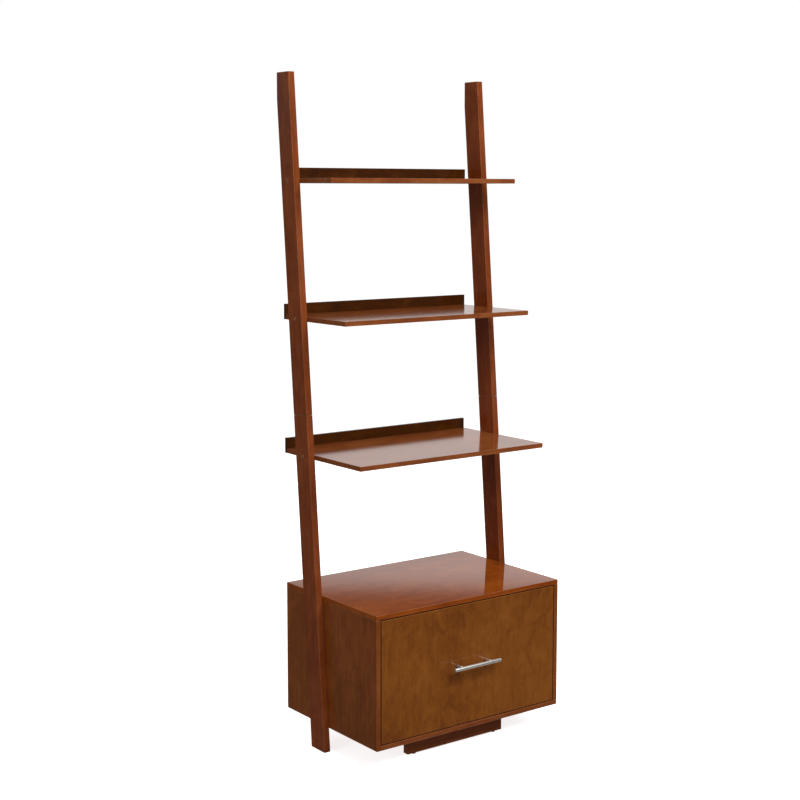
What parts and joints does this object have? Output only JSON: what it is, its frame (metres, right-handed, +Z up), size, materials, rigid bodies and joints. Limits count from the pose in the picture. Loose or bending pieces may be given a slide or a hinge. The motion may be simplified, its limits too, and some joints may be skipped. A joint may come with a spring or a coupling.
{
  "type": "ladder shelf",
  "caption": "Leaning ladder shelf in stained wood: two sloping posts carry shelves with back rails above a cabinet with a file drawer and a round bar pull.",
  "frame": {"origin": "on the floor, in the middle of the object's width and of its depth with the pull", "axes": "+Z up; +Y back, towards the wall that the unit leans on; +X to the right seen from the front"},
  "size_m": [0.6592, 0.4596, 1.794],
  "materials": {
    "cherry_stain": "reddish brown stain under a satin lacquer",
    "birch_plywood": "clear matt lacquer",
    "brown_hardboard": "smooth and matt",
    "bronzed_steel": "dark bronze plating, satin",
    "zinc_plated_steel": "bright zinc plating",
    "satin_steel": "satin",
    "black_plastic": "matt black"
  },
  "bodies": {
    "base": {"back_rail_lower": "cherry_stain", "back_rail_middle": "cherry_stain", "back_rail_upper": "cherry_stain", "barrel_nut_lower_left": "zinc_plated_steel", "barrel_nut_lower_right": "zinc_plated_steel", "barrel_nut_middle_left": "zinc_plated_steel", "barrel_nut_middle_right": "zinc_plated_steel", "barrel_nut_upper_left": "zinc_plated_steel", "barrel_nut_upper_right": "zinc_plated_steel", "cabinet_back": "brown_hardboard", "cabinet_bolt_lower_left": "zinc_plated_steel", "cabinet_bolt_lower_right": "zinc_plated_steel", "cabinet_bolt_upper_left": "zinc_plated_steel", "cabinet_bolt_upper_right": "zinc_plated_steel", "cabinet_floor": "cherry_stain", "cabinet_side_left": "cherry_stain", "cabinet_side_right": "cherry_stain", "cabinet_top": "cherry_stain", "foot_board": "cherry_stain", "foot_screw_left": "zinc_plated_steel", "foot_screw_right": "zinc_plated_steel", "glide_left": "black_plastic", "glide_right": "black_plastic", "post_lower_left": "cherry_stain", "post_lower_right": "cherry_stain", "post_stud_left": "zinc_plated_steel", "post_stud_right": "zinc_plated_steel", "post_upper_left": "cherry_stain", "post_upper_right": "cherry_stain", "shelf_bolt_lower_left": "bronzed_steel", "shelf_bolt_lower_right": "bronzed_steel", "shelf_bolt_middle_left": "bronzed_steel", "shelf_bolt_middle_right": "bronzed_steel", "shelf_bolt_upper_left": "bronzed_steel", "shelf_bolt_upper_right": "bronzed_steel", "shelf_lower": "cherry_stain", "shelf_middle": "cherry_stain", "shelf_upper": "cherry_stain", "slide_cabinet_left": "zinc_plated_steel", "slide_cabinet_right": "zinc_plated_steel"},
    "drawer": {"drawer_box_back": "birch_plywood", "drawer_box_bottom": "birch_plywood", "drawer_box_front": "birch_plywood", "drawer_box_side_left": "birch_plywood", "drawer_box_side_right": "birch_plywood", "drawer_front": "cherry_stain", "file_bar_back": "zinc_plated_steel", "file_bar_front": "zinc_plated_steel", "pull_bar": "satin_steel", "pull_post_left": "satin_steel", "pull_post_right": "satin_steel", "pull_screw_left": "zinc_plated_steel", "pull_screw_right": "zinc_plated_steel", "slide_drawer_left": "zinc_plated_steel", "slide_drawer_right": "zinc_plated_steel"},
    "slide_middle_left": {"slide_middle_left": "zinc_plated_steel"},
    "slide_middle_right": {"slide_middle_right": "zinc_plated_steel"}
  },
  "joints": [
    {"name": "drawer_slide", "type": "slide", "parent": "base", "child": "drawer", "axis": [0, -1, 0], "range_m": [0, 0.35]},
    {"name": "slide_middle_left_travel", "type": "slide", "parent": "base", "child": "slide_middle_left", "axis": [0, -1, 0], "range_m": [0, 0.175]},
    {"name": "slide_middle_right_travel", "type": "slide", "parent": "base", "child": "slide_middle_right", "axis": [0, -1, 0], "range_m": [0, 0.175]}
  ],
  "couplings": [
    {"joint": "slide_middle_left_travel", "follows": "drawer_slide", "ratio": 0.5},
    {"joint": "slide_middle_right_travel", "follows": "drawer_slide", "ratio": 0.5}
  ]
}
